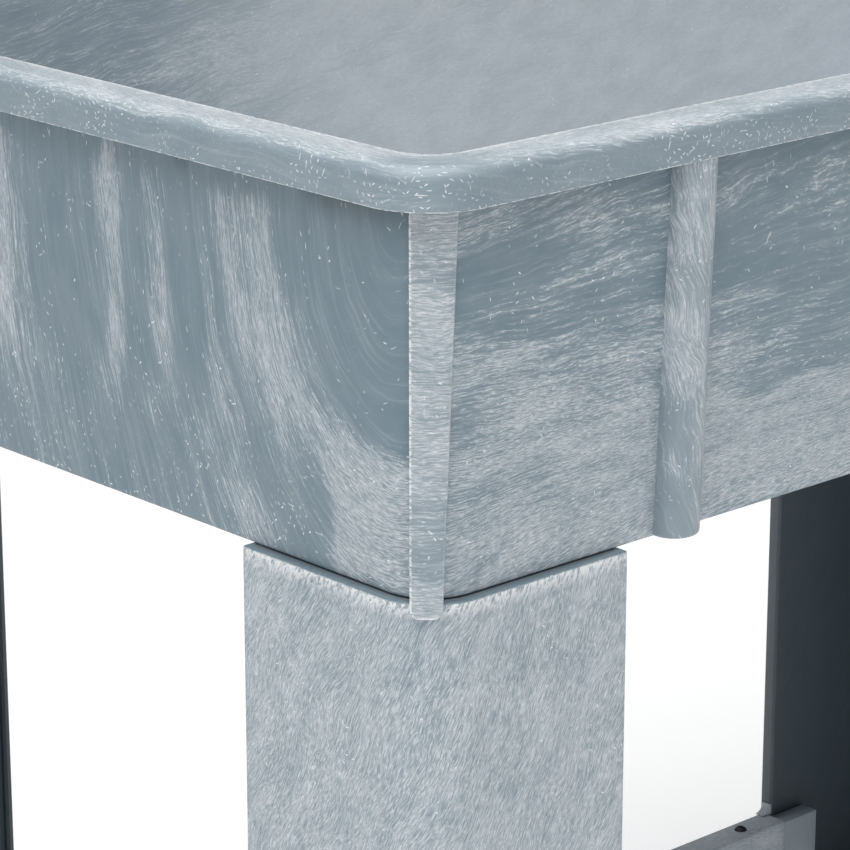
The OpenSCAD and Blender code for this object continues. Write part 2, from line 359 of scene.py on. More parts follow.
def tray_profile():
    """(zone, inset, corner radius, height) of each ring, from under the floor, round the wall and rim, and
    back down to the floor."""
    out = []

    def add(zone, inset, r, z):
        out.append((zone, inset, r, z))

    add("under", SOCKET_INSET + 2 * MM, 16 * MM, FLOOR_BOTTOM)
    add("under", SOCKET_INSET, 18 * MM, FLOOR_BOTTOM - 2 * MM)
    add("under", SOCKET_INSET, 18 * MM, TRAY_BOTTOM + 1.5 * MM)
    low = wall_inset(TRAY_BOTTOM)
    add("under", SOCKET_INSET - 1 * MM, LEG_AXIS - low - 6 * MM, TRAY_BOTTOM)
    for inset, z in arc(low + WALL_EDGE, TRAY_BOTTOM + WALL_EDGE, WALL_EDGE, 270, 180, 4):
        add("wall", inset, LEG_AXIS - inset, z)
    base, top = TRAY_BOTTOM + 3 * MM, SHELL_TOP - 1 * MM
    count = round((top - base) / STEP)
    for i in range(count + 1):
        z = base + (top - base) * i / count
        add("wall", wall_inset(z), LEG_AXIS - wall_inset(z), z)
    add("hidden", WALL_OVERHANG - 2 * MM, RIM_CORNER - WALL_OVERHANG + 3 * MM, SHELL_TOP)
    for inset, z in arc(RIM_EDGE, HEIGHT - RIM_EDGE, RIM_EDGE - RIM_T, 90, 180, 3):
        add("hidden", inset, RIM_CORNER - inset, z)
    add("hidden", RIM_T, RIM_CORNER - RIM_T, RIM_BOTTOM + 1 * MM)
    for inset, z in arc(RIM_T - LIP_EDGE, RIM_BOTTOM + LIP_EDGE, LIP_EDGE, 360, 270, 2):
        add("hidden", inset, RIM_CORNER - inset, z)
    for inset, z in arc(RIM_LOW_EDGE, RIM_BOTTOM + RIM_LOW_EDGE, RIM_LOW_EDGE, 270, 180, 3):
        add("rim", inset, RIM_CORNER - inset, z)
    for i in range(1, 5):
        add("rim", 0.0, RIM_CORNER, RIM_BOTTOM + (RIM_H - RIM_EDGE) * i / 5)
    for inset, z in arc(RIM_EDGE, HEIGHT - RIM_EDGE, RIM_EDGE, 180, 90, 12):
        add("rim", inset, RIM_CORNER - inset, z)
    inner_r = INNER_AXIS - RIM_W
    outer_r = RIM_CORNER - RIM_EDGE
    flat = RIM_W - RIM_EDGE - RIM_INNER_EDGE
    for i in range(1, 5):
        part = i / 5
        add("rim", RIM_EDGE + flat * part, outer_r - (outer_r - inner_r) * part, HEIGHT)
    for inset, z in arc(RIM_W - RIM_INNER_EDGE, HEIGHT - RIM_INNER_EDGE, RIM_INNER_EDGE, 90, 0, 4):
        add("rim", inset, inner_r, z)
    foot = wall_inset(FLOOR_TOP) + WALL_T
    top, base = HEIGHT - 1.2 * MM, FLOOR_TOP + FLOOR_FILLET
    count = round((top - base) / STEP)
    for i in range(1, count + 1):
        z = top - (top - base) * i / count
        inset = RIM_W + (foot - RIM_W) * (HEIGHT - z) / (HEIGHT - FLOOR_TOP)
        add("inner", inset, INNER_AXIS - inset, z)
    for inset, z in arc(foot + FLOOR_FILLET, FLOOR_TOP + FLOOR_FILLET, FLOOR_FILLET, 180, 270, 5)[1:]:
        add("inner", inset, INNER_AXIS - foot, z)
    for extra in (8, 20, 36, 56, 80, 110, 145, 180, 215):
        add("floor", foot + FLOOR_FILLET + extra * MM, max(3 * MM, 17 * MM - extra * MM / 15), FLOOR_TOP)
    return out


PROFILE = tray_profile()
RINGS = [np.array(tray_ring(inset, r, z)) for _, inset, r, z in PROFILE]


def around(loop):
    """Distance along a ring from the middle of the front side, the same to the left and to the right."""
    count = len(loop) - 1
    steps = np.linalg.norm(np.diff(loop[:, :2], axis=0), axis=1)
    run = np.concatenate([[0], np.cumsum(steps)])
    return np.abs(run - run[count] / 2)


def long_side(loop):
    """True where a point belongs to a long side, up to the diagonal of its corner."""
    return (WIDTH / 2 - np.abs(loop[:, 1])) < (LENGTH / 2 - np.abs(loop[:, 0])) + 1e-9


def short_wall(loop, h):
    """Flow, bias and strokes of a short wall: arcs about its top near one end, then upright columns."""
    d = WIDTH / 2 - np.sign(loop[:, 0]) * loop[:, 1]
    across, down = (d - ARC_D) / ARC_WIDE, ARC_DEEP * (ARC_H - h)
    reach = np.hypot(across, down)
    u = np.arctan2(down, across) * reach * 0.8 + 0.3 * loop[:, 0]
    v = reach + 0.4 * (loop[:, 0] > 0)
    core = smoothstep(118 * MM, 70 * MM, reach)
    band = bump(reach, 122 * MM, 26 * MM)
    columns = sum(amount * bump(d, middle * MM, half * MM) for middle, half, amount in COLUMNS)
    upper = smoothstep(50 * MM, 90 * MM, h)
    past_band = smoothstep(88 * MM, 98 * MM, d)
    low_dark = -0.04 * smoothstep(70 * MM, 40 * MM, h) * past_band
    low_pale = 0.17 * smoothstep(80 * MM, 55 * MM, h) * smoothstep(92 * MM, 84 * MM, d)
    bias = -0.05 - 0.27 * core + 0.08 * band + columns * upper + low_dark + low_pale
    bias += 0.08 * bump(d, 140 * MM, 40 * MM)
    strokes = 0.35 + 0.9 * smoothstep(80 * MM, 45 * MM, h) * past_band
    return np.array([u, v, bias, strokes])


def long_wall(loop, h):
    """Flow, bias and strokes of a long wall: near-level streaks that lift towards its middle."""
    x = loop[:, 0]
    near = LENGTH / 2 - np.abs(x)
    bow = (LENGTH ** 2 / 4 - x ** 2) / LENGTH
    lift = 0.16 * (h - 120 * MM) / (70 * MM) * (h > 120 * MM) + 0.26 * smoothstep(75 * MM, 10 * MM, h)
    v = h - lift * bow + 0.5 * (loop[:, 1] > 0)
    patch = bump(h, 152 * MM, 30 * MM) * smoothstep(145 * MM, 60 * MM, near)
    beyond = smoothstep(170 * MM, 195 * MM, near)
    bias = -0.30 * patch + 0.11 * smoothstep(100 * MM, 40 * MM, h) + 0.06 - 0.07 * beyond
    return np.array(np.broadcast_arrays(x, v, bias, 0.25))


def wall_paint(loop):
    h = loop[:, 2] - TRAY_BOTTOM
    is_long = long_side(loop)
    u, v, bias, strokes = np.where(is_long, long_wall(loop, h), short_wall(loop, h))
    push = curl(loop, 90 * MM, 3.1)
    sway = np.where(is_long, 3 * MM, 7 * MM)
    mottle = curl(loop, 45 * MM, 8.4)[:, 0]
    # painted shadow under the rim: the walls darken just below it, more on the short walls
    under_rim_shadow = np.where(is_long, 0.12, 0.24) * smoothstep(170 * MM, 189 * MM, h)
    return paint_rows(u + sway * push[:, 0], v + sway * push[:, 1], bias + 0.05 * mottle - under_rim_shadow, strokes)


def zone_of(band):
    """The zone of the tray that the faces of a band belong to."""
    if band < 0:
        return "under"
    if band >= len(PROFILE) - 1:
        return "floor"
    zone = PROFILE[band + 1][0]
    return "under" if zone == "wall" and PROFILE[band][0] == "under" else zone


def rim_paint(loop, k, u, v, mottle):
    """The rim: dark and stroked on its face, paler on top as painted light from above (less so near the
    corners), with a frayed white flash line along its bottom edge and a painted highlight along its inner
    edge.
    """
    z, inset = loop[:, 2], PROFILE[k][1]
    rise = smoothstep(HEIGHT - RIM_EDGE, HEIGHT, z)
    low_edge = (z - RIM_BOTTOM < 0.55 * MM) & (inset < 1 * MM)
    # painted highlight: a white line along the rim's inner edge, carried in the flash channel
    inner_edge_highlight = abs(inset - RIM_W + 0.6 * MM) < 0.7 * MM
    from_ends, from_sides = LENGTH / 2 - np.abs(loop[:, 0]), WIDTH / 2 - np.abs(loop[:, 1])
    near_corner = smoothstep(75 * MM, 25 * MM, np.hypot(from_ends, from_sides))
    # painted light: the top is toned paler than the face, less so near the corners
    bias = -0.17 + (0.28 - 0.22 * near_corner) * rise + 0.06 * mottle
    flash = 0.7 * (1.0 * low_edge + 0.9 * inner_edge_highlight)
    return paint_rows(u, v, bias, 3.2 - 2.3 * rise, 0.22 + 0.18 * rise, flash)


def tray_paint(band, k):
    loop = closed(RINGS[k])
    zone = zone_of(band)
    if zone == "wall":
        return wall_paint(loop)
    if zone in ("floor", "under"):
        push = curl(loop, 120 * MM, 5.2)
        tone = FLOOR_TONE if zone == "floor" else UNDERSIDE_SHADE_TONE
        # the underside takes a darker tone as painted shade under the tray
        return paint_rows(loop[:, 0] + 0.02 * push[:, 0], loop[:, 1] + 0.02 * push[:, 1], *tone)
    run = sum(math.dist(PROFILE[i][1::2], PROFILE[i - 1][1::2]) for i in range(1, k + 1))
    push = curl(loop, 60 * MM, 1.7)
    mottle = curl(loop, 38 * MM, 6.3)[:, 1]
    u = around(loop) + 0.006 * push[:, 0]
    v = run + 0.15 * loop[:, 0] + 0.006 * push[:, 1]
    if zone == "hidden":
        # painted shade inside and under the rim
        return paint_rows(u, v, *HIDDEN_SHADE_TONE)
    if zone == "inner":
        # painted light and shade: the inner walls are toned pale, and darker towards the left end as painted
        # shade
        shade = smoothstep(-0.04, -0.28, loop[:, 0])
        return paint_rows(u, v, 0.16 - 0.20 * shade + 0.03 * mottle, 0.12, 1.05 - 0.72 * shade)
    return rim_paint(loop, k, u, v, mottle)


def cut_drains(obj):
    """Cuts the two drain bores through the tray's floor."""
    for i, x in enumerate((-DRAIN_X, DRAIN_X)):
        bore = arc(x, 0, DRAIN_D / 2, 0, 360, 48)[:-1]
        cutter = new_mesh(f"cutter_{i}", *prism_data(bore, FLOOR_BOTTOM - 0.01, FLOOR_TOP + 0.01))
        outward(cutter)
        cut = obj.modifiers.new("drain", "BOOLEAN")
        cut.operation = "DIFFERENCE"
        cut.object = cutter
        cut.solver = "EXACT"
        bpy.context.view_layer.update()
        evaluated = obj.evaluated_get(bpy.context.evaluated_depsgraph_get())
        cut_mesh = bpy.data.meshes.new_from_object(evaluated)
        obj.modifiers.clear()
        obj.data = cut_mesh
        bpy.data.objects.remove(cutter)


def prism_data(outline, z0, z1):
    """Plain vertices and faces of an upright prism."""
    n = len(outline)
    verts = [(x, y, z) for z in (z0, z1) for x, y in outline]
    faces = [(i, (i + 1) % n, n + (i + 1) % n, n + i) for i in range(n)]
    return verts, faces + [tuple(range(n))[::-1], tuple(range(n, 2 * n))]


def at_corner(right, back):
    """Turns a place in a corner's own frame, from the rim's outer corner, into the row frame."""
    sx = 1 if right else -1
    sy = 1 if back else -1
    return lambda u, v, z: (sx * (LENGTH / 2 - u), sy * (WIDTH / 2 - v), z)


CORNERS = [(name, at_corner(right, back)) for name, right, back in
           (("front_left", 0, 0), ("front_right", 1, 0), ("back_left", 0, 1), ("back_right", 1, 1))]


def bead_section(z, seed):
    """Points (side, distance from the leg's axis, flash) of a bead's section at a height."""
    edge = 1.0 * MM
    knee = TONGUE_END + TONGUE_R
    rise = (z - TONGUE_END) / (SHELL_TOP - TONGUE_END)
    radius = LEG_R + TONGUE_GAP + BEAD_T + BEAD_LEAN * rise
    tip = max(0.0, BEAD_EDGE - (z - TONGUE_END))
    radius -= BEAD_EDGE - math.sqrt(max(0.0, BEAD_EDGE ** 2 - tip ** 2))
    back = LEG_R + TONGUE_GAP if z < TRAY_BOTTOM else LEG_AXIS - wall_inset(z) - 2.5 * MM
    part = max(0.0, (z - knee) / (SHELL_TOP - knee))
    tuck = TONGUE_R - math.sqrt(max(0.0, TONGUE_R ** 2 - max(0.0, knee - z) ** 2))
    left = BEAD_LEFT - tuck
    right = BEAD_RIGHT_END + (BEAD_RIGHT_TOP - BEAD_RIGHT_END) * part - tuck
    ridge = 0.35 * MM * max(0.0, 0.5 + noise.noise(Vector((seed, z * 260, 0))))
    section = [(-left, back, 0), (-left, radius - edge, 0.6),
               (-left - ridge * 0.4, radius - 0.3 * edge, 1.0), (-left + 0.5 * edge, radius + ridge, 1.0),
               (-left + 1.3 * edge, radius, 0)]
    section += [(t, radius, 0) for t in np.linspace(-left + 1.3 * edge, right - edge, 12)[1:-1]]
    section += [(right - edge, radius, 0), (right - 0.3 * edge, radius - 0.3 * edge, 0.25),
                (right, radius - edge, 0.2), (right, back, 0)]
    return section


def make_bead(name, place, seed):
    """Corner bead with the tongue that laps over the leg, and thin ragged flash on its left edge and end."""
    top = SHELL_TOP - 3 * MM
    levels = [TONGUE_END + TONGUE_R * (1 - math.cos(math.radians(9 * i))) for i in range(11)]
    levels += [TONGUE_END + TONGUE_R + 1 * MM, TRAY_BOTTOM - 0.05 * MM, TRAY_BOTTOM + 0.05 * MM]
    count = round((top - TRAY_BOTTOM) / (2.5 * MM))
    levels += [TRAY_BOTTOM + (top - TRAY_BOTTOM) * i / count for i in range(1, count + 1)]
    diagonal = math.sqrt(0.5)
    rings, flashes, sides = [], [], []
    for z in levels:
        section = bead_section(z, seed)
        at_end = z < TONGUE_END + 1.4 * MM
        ring = []
        for t, rho, _ in section:
            out = math.sqrt(rho * rho - t * t)
            ring.append(place(LEG_AXIS - out * diagonal + t * diagonal,
                              LEG_AXIS - out * diagonal - t * diagonal, z))
        rings.append(ring)
        flashes.append([1.0 if at_end else flash for _, _, flash in section])
        sides.append([t for t, _, _ in section])

    def paint(band, k):
        loop, t = closed(rings[k]), closed(sides[k])
        push = curl(loop, 30 * MM, seed)
        return paint_rows(t + 0.3 * levels[k] + 0.004 * push[:, 0], levels[k] + 0.002 * push[:, 1],
                          0.08 + 0.06 * push[:, 1], 0.55, 0.25, 0.8 * closed(flashes[k]))

    return loft(name, rings, paint)


def make_rib(name, x, back, seed):
    """Half-round rib on a long wall, its bottom edge rounded."""
    sy = 1 if back else -1
    top = SHELL_TOP - 2 * MM
    root = RIB_BACK - 1 * MM
    levels = [TRAY_BOTTOM + RIB_EDGE * (1 - math.cos(math.radians(18 * i))) for i in range(6)]
    count = round((top - TRAY_BOTTOM - RIB_EDGE) / (4 * MM))
    base = TRAY_BOTTOM + RIB_EDGE
    levels += [base + (top - TRAY_BOTTOM - RIB_EDGE) * i / count for i in range(1, count + 1)]
    rings, sides = [], []
    for z in levels:
        tip = max(0.0, TRAY_BOTTOM + RIB_EDGE - z)
        r = RIB_R - (RIB_EDGE - math.sqrt(max(0.0, RIB_EDGE ** 2 - tip ** 2)))
        centre = RIB_FACE + RIB_R + (RIM_BOTTOM - z) * RIB_DRAFT / WALL_H
        section = [(-r, root)] + [(-px, py) for px, py in arc(0, 0, r, 0, -180, 22)] + [(r, root)]
        rings.append([(x + px, sy * (WIDTH / 2 - centre - py), z) for px, py in section])
        sides.append([px for px, _ in section])

    def paint(band, k):
        loop = closed(rings[k])
        turn = np.arcsin(np.clip(closed(sides[k]) / RIB_R, -1, 1)) * RIB_R
        push = curl(loop, 32 * MM, seed)
        return paint_rows(levels[k] + 0.006 * push[:, 0], turn + 0.25 * levels[k] + 0.006 * push[:, 1],
                          0.02 + 0.12 * push[:, 0], 0.45, 0.30)

    return loft(name, rings, paint)


def floor_webs():
    """Low and high corners of the stiffening webs under the floor."""
    sink = 0.5 * MM
    half_l, half_w = LENGTH / 2 - SOCKET_INSET + sink, WIDTH / 2 - SOCKET_INSET + sink
    clear_l, clear_w = LENGTH / 2 - SOCKET_SIZE, WIDTH / 2 - SOCKET_SIZE
    low, high = WEB_BOTTOM, FLOOR_BOTTOM + sink
    boxes = []
    for i in range(1, CELLS_LONG):
        x = -(LENGTH / 2 - SOCKET_INSET) + i * (LENGTH - 2 * SOCKET_INSET) / CELLS_LONG
        y = half_w if abs(x) < clear_l else clear_w
        boxes.append(((x - WEB_T / 2, -y, low), (x + WEB_T / 2, y, high)))
    for i in range(1, CELLS_WIDE):
        y = -(WIDTH / 2 - SOCKET_INSET) + i * (WIDTH - 2 * SOCKET_INSET) / CELLS_WIDE
        x = half_l if abs(y) < clear_w else clear_l
        boxes.append(((-x, y - WEB_T / 2, low), (x, y + WEB_T / 2, high)))
    end = SOCKET_SIZE + WEB_T
    for _, place in CORNERS:
        q = place(end, end, 0)
        for u, v in ((SOCKET_SIZE, SOCKET_INSET - sink), (SOCKET_INSET - sink, SOCKET_SIZE)):
            p = place(u, v, 0)
            boxes.append(((min(p[0], q[0]), min(p[1], q[1]), low), (max(p[0], q[0]), max(p[1], q[1]), high)))
    return boxes


# ---------------------------------------------------------------- legs and rails

def outline_normals(pts):
    """Outward normal at each point of a closed outline."""
    before = pts - np.roll(pts, 1, axis=0)
    after = np.roll(pts, -1, axis=0) - pts
    sides = []
    for d in (before, after):
        n = np.stack([d[:, 1], -d[:, 0]], 1)
        sides.append(n / (np.linalg.norm(n, axis=1)[:, None] + 1e-12))
    normal = sides[0] + sides[1]
    normal /= np.linalg.norm(normal, axis=1)[:, None] + 1e-12
    ahead = np.roll(pts, -1, axis=0)
    return normal * math.copysign(1, 0.5 * np.sum(pts[:, 0] * ahead[:, 1] - pts[:, 1] * ahead[:, 0]))


def make_prism(name, place, outline, z0, z1, edge, step, angle, seed, tone_of):
    """Prism over a closed outline, its end edges softened; streaks run at an angle to the outline.
    tone_of(spot, z, push, cap) gives the tone at a spot of the outline, on a side or on an end cap."""
    pts = np.array(outline)
    normal = outline_normals(pts)
    turns = [math.radians(30 * i) for i in range(4)]
    levels = [(edge * (1 - math.sin(a)), z0 + edge * (1 - math.cos(a))) for a in turns]
    count = max(1, round((z1 - z0 - 2 * edge) / step))
    levels += [(0.0, z0 + edge + (z1 - z0 - 2 * edge) * i / count) for i in range(1, count)]
    levels += [(edge * (1 - math.cos(a)), z1 - edge * (1 - math.sin(a))) for a in turns]
    rings = [[place(u, v, z) for u, v in pts - normal * shrink] for shrink, z in levels]
    run = np.concatenate([[0], np.cumsum(np.linalg.norm(np.diff(closed(pts), axis=0), axis=1))])
    twist = 6 * MM

    def paint(band, k):
        loop = closed(rings[k])
        z = levels[k][1]
        push = curl(loop, 70 * MM, seed)
        cap = band in (-1, len(levels) - 1)
        if cap:
            u, v = loop[:, 0], loop[:, 1]
        else:
            u = run * math.cos(angle) + z * math.sin(angle) + twist * push[:, 0]
            v = z * math.cos(angle) - run * math.sin(angle) + twist * push[:, 1]
        tones = [tone_of(outline[j % len(outline)], z, push[j, 0], cap) for j in range(len(loop))]
        return np.column_stack([u, v, np.array(tones)])

    return loft(name, rings, paint)


def leg_outline():
    """Section of a leg: L-shaped skin with a rounded corner and a lip on each free edge."""
    near, far, axis, inner = LEG_INSET, LEG_INSET + LEG_ARM, LEG_AXIS, LEG_INSET + LEG_T
    soft, small = 1.2 * MM, 1.4 * MM
    half = straight((far - soft, near), (axis, near), 7 * MM)
    pts = [(far - soft * 0.3, near + soft * 0.3)] + half
    pts += arc(axis, axis, LEG_R, 270, 180, 16)[:-1]
    pts += [(v, u) for u, v in [(axis, near)] + half[:0:-1]]
    pts += [(near, far - soft), (near + soft * 0.3, far - soft * 0.3), (near + soft, far),
            (near + LIP_D - small, far), (near + LIP_D, far - small),
            (near + LIP_D, far - LEG_T + small), (near + LIP_D - small, far - LEG_T),
            (inner + 1 * MM, far - LEG_T), (inner, far - LEG_T - 1 * MM)]
    back = straight((inner, far - LEG_T - 8 * MM), (inner, axis), 14 * MM)
    pts += back + arc(axis, axis, LEG_R - LEG_T, 180, 270, 8) + [(v, u) for u, v in back[::-1]]
    pts += [(far - LEG_T - 1 * MM, inner), (far - LEG_T, inner + 1 * MM),
            (far - LEG_T, near + LIP_D - small), (far - LEG_T + small, near + LIP_D),
            (far - small, near + LIP_D), (far, near + LIP_D - small), (far, near + soft)]
    return pts


def leg_tone(spot, z, push, cap):
    """Pale swirl outside, with a frayed white flash line at the top edge; painted shade inside and on the
    ends.
    """
    u, v = spot
    corner = math.hypot(max(LEG_AXIS - u, 0), max(LEG_AXIS - v, 0))
    outer = min(u, v) < LEG_INSET + 0.6 * MM or corner > LEG_R - 1 * MM
    # painted shade on the end caps and on the top ledge under the tray
    if cap or z > LEG_TOP - 0.3 * MM:
        return LEG_END_SHADE_TONE
    if outer:
        return (0.17 + 0.07 * push, 0.22, 0.08, 0.8 if 0.7 * MM < LEG_TOP - z < 1.5 * MM else 0.0)
    return LEG_INSIDE_SHADE_TONE


def box_outline(u0, u1, v0, v1):
    """Rectangle with small corner radii, given by its two spans."""
    r = 0.8 * MM
    left, right, low, high = u0 + r, u1 - r, v0 + r, v1 - r
    pts = []
    for cx, cy, start in ((right, low, 270), (right, high, 0), (left, high, 90), (left, low, 180)):
        pts += arc(cx, cy, r, start, start + 90, 2)
    return pts


def plate_outline():
    """L-shaped plate that closes a leg's end, inside its skin."""
    sink = 0.5 * MM
    inset, depth, arm = LEG_INSET + LEG_T - sink, LEG_INSET + PLATE_D, LEG_INSET + LEG_ARM - LEG_T + sink
    pts = arc(LEG_AXIS, LEG_AXIS, LEG_R - LEG_T + sink, 180, 270, 8)
    return pts + [(arm, inset), (arm, depth), (depth + 3 * MM, depth), (depth + 0.9 * MM, depth + 0.9 * MM),
                  (depth, depth + 3 * MM), (depth, arm), (inset, arm)]


def spigot_outline():
    """L-shaped wall that reaches up from a leg into the tray's socket."""
    r, thick = 17 * MM, 4 * MM
    near, far, axis = SPIGOT_INSET, LEG_INSET + LEG_ARM - 5 * MM, SPIGOT_INSET + r
    inner = near + thick
    pts = [(far, near)] + arc(axis, axis, r, 270, 180, 8) + [(near, far), (inner, far)]
    return pts + arc(axis, axis, 13 * MM, 180, 270, 6) + [(far, inner)]


def plain(bias):
    """Tone of a part with one soft shade all over, for make_prism."""
    return lambda spot, z, push, cap: (bias, 0.1, 0.6, 0.0)


def rail_tone(spot, z, push, cap):
    u, v = spot
    inside = RAIL_T - 0.1 * MM < u < RAIL_W - RAIL_T + 0.1 * MM and v < RAIL_H - RAIL_T + 0.1 * MM
    # painted shade on the channel's inner faces
    return RAIL_INSIDE_SHADE_TONE if inside else (0.16 + 0.08 * push, 0.3, 0.5, 0.0)


def rail_outline():
    """Section of a rail: a channel open below."""
    r = 2.0 * MM
    inner_w, inner_h, shoulder = RAIL_W - RAIL_T, RAIL_H - RAIL_T, RAIL_H - r
    pts = [(0.0, 0.0)] + straight((0, 6 * MM), (0, shoulder), 8 * MM) + arc(r, shoulder, r, 180, 90, 4)
    pts += arc(RAIL_W - r, shoulder, r, 90, 0, 4) + straight((RAIL_W, shoulder - 4 * MM), (RAIL_W, 0), 8 * MM)
    return pts + [(RAIL_W, 0), (inner_w, 0), (inner_w, inner_h), (RAIL_T, inner_h), (RAIL_T, 0)]


# ---------------------------------------------------------------- materials

class Graph:
    """Small helper round a material's nodes."""

    def __init__(self, name):
        self.material = bpy.data.materials.new(name)
        self.material.use_nodes = True
        self.tree = self.material.node_tree
        self.tree.nodes.clear()

    def node(self, kind, **values):
        n = self.tree.nodes.new(kind)
        for key, value in values.items():
            setattr(n, key, value)
        return n

    def plug(self, value, target):
        if isinstance(value, bpy.types.NodeSocket):
            self.tree.links.new(value, target)
        else:
            target.default_value = value

    def math(self, operation, a, b=0.0, c=0.0):
        n = self.node("ShaderNodeMath", operation=operation)
        for value, target in zip((a, b, c), n.inputs):
            self.plug(value, target)
        return n.outputs[0]

    def times(self, a, b):
        return self.math("MULTIPLY", a, b)

    def added(self, a, factor, base):
        """a times factor, on top of a base."""
        return self.math("MULTIPLY_ADD", a, factor, base)

    def vector(self, operation, a, b=(0.0, 0.0, 0.0)):
        n = self.node("ShaderNodeVectorMath", operation=operation)
        self.plug(a, n.inputs[0])
        self.plug(b, n.inputs[1])
        return n.outputs["Value"] if operation == "LENGTH" else n.outputs[0]

    def noise(self, vector, scale, detail=2.0, rough=0.55, distortion=0.0, colour=False, flat=True):
        n = self.node("ShaderNodeTexNoise", noise_dimensions="2D" if flat else "3D")
        self.plug(self.vector("MULTIPLY", vector, scale), n.inputs["Vector"])
        n.inputs["Scale"].default_value = 1.0
        n.inputs["Detail"].default_value = detail
        n.inputs["Roughness"].default_value = rough
        n.inputs["Distortion"].default_value = distortion
        return n.outputs["Color" if colour else "Fac"]

    def step(self, value, low, high, to_low=0.0, to_high=1.0):
        n = self.node("ShaderNodeMapRange", interpolation_type="SMOOTHSTEP")
        self.plug(value, n.inputs["Value"])
        for key, number in (("From Min", low), ("From Max", high), ("To Min", to_low), ("To Max", to_high)):
            self.plug(number, n.inputs[key])
        return n.outputs["Result"]

    def split(self, colour):
        n = self.node("ShaderNodeSeparateColor")
        self.plug(colour, n.inputs["Color"])
        return n.outputs

    def mix(self, factor, a, b):
        n = self.node("ShaderNodeMix", data_type="RGBA", clamp_factor=True)
        self.plug(factor, n.inputs[0])
        self.plug(a, n.inputs[6])
        self.plug(b, n.inputs[7])
        return n.outputs[2]

    def dashes(self, vector, cell, length, width, spread, share, bend=0.0):
        """Short strokes, at most one in a cell: along the first axis, turned by up to half the spread."""
        scaled = self.vector("MULTIPLY", vector, (1 / cell, 1 / cell, 1.0))
        cells = self.node("ShaderNodeTexVoronoi", voronoi_dimensions="2D", feature="F1")
        self.plug(scaled, cells.inputs["Vector"])
        cells.inputs["Scale"].default_value = 1.0
        red, green, blue = self.split(cells.outputs["Color"])[:3]
        turn = self.node("ShaderNodeVectorRotate", rotation_type="Z_AXIS")
        self.plug(self.vector("SUBTRACT", scaled, cells.outputs["Position"]), turn.inputs["Vector"])
        self.plug(self.times(self.math("SUBTRACT", red, 0.5), spread), turn.inputs["Angle"])
        local = self.vector("MULTIPLY", turn.outputs[0], (2 * cell / length, 2 * cell / width, 0.0))
        if bend:
            xyz = self.node("ShaderNodeSeparateXYZ")
            self.plug(local, xyz.inputs[0])
            bow = self.times(self.times(xyz.outputs[0], xyz.outputs[0]), bend)
            joined = self.node("ShaderNodeCombineXYZ")
            self.plug(xyz.outputs[0], joined.inputs[0])
            self.plug(self.math("ADD", xyz.outputs[1], bow), joined.inputs[1])
            local = joined.outputs[0]
        stroke = self.step(self.vector("LENGTH", local), 1.1, 0.55)
        chosen = self.math("LESS_THAN", green, share)
        return self.times(self.times(stroke, chosen), self.added(blue, 0.6, 0.4))

    def principled(self, colour, roughness, normal=None, specular=0.5, metallic=0.0, glow=0.0):
        """Ends the graph in a Principled shader, and gives the material."""
        n = self.node("ShaderNodeBsdfPrincipled")
        self.plug(colour, n.inputs["Base Color"])
        self.plug(roughness, n.inputs["Roughness"])
        n.inputs["Specular IOR Level"].default_value = specular
        n.inputs["Metallic"].default_value = metallic
        n.inputs["Emission Color"].default_value = (1, 1, 1, 1)
        n.inputs["Emission Strength"].default_value = glow
        if normal:
            self.plug(normal, n.inputs["Normal"])
        out = self.node("ShaderNodeOutputMaterial")
        self.tree.links.new(n.outputs["BSDF"], out.inputs["Surface"])
        return self.material

    def bump(self, height, strength, distance):
        n = self.node("ShaderNodeBump")
        n.inputs["Strength"].default_value = strength
        n.inputs["Distance"].default_value = distance
        self.plug(height, n.inputs["Height"])
        return n.outputs["Normal"]


def linear(r, g, b):
    """A display colour of 0 to 255 as a linear one."""
    rgb = [((c / 255 + 0.055) / 1.055) ** 2.4 if c > 10 else c / 255 / 12.92 for c in (r, g, b)]
    return (*rgb, 1.0)


DEEP_BLUE = linear(79, 107, 121)
PALE_GREY = linear(220, 224, 228)
# painted shade colour, mixed in where a tone's bias is strongly negative
PAINTED_SHADE = linear(38, 50, 56)
STROKE_WHITE = linear(240, 243, 246)
FLASH_AND_HIGHLIGHT_WHITE = linear(244, 245, 245)


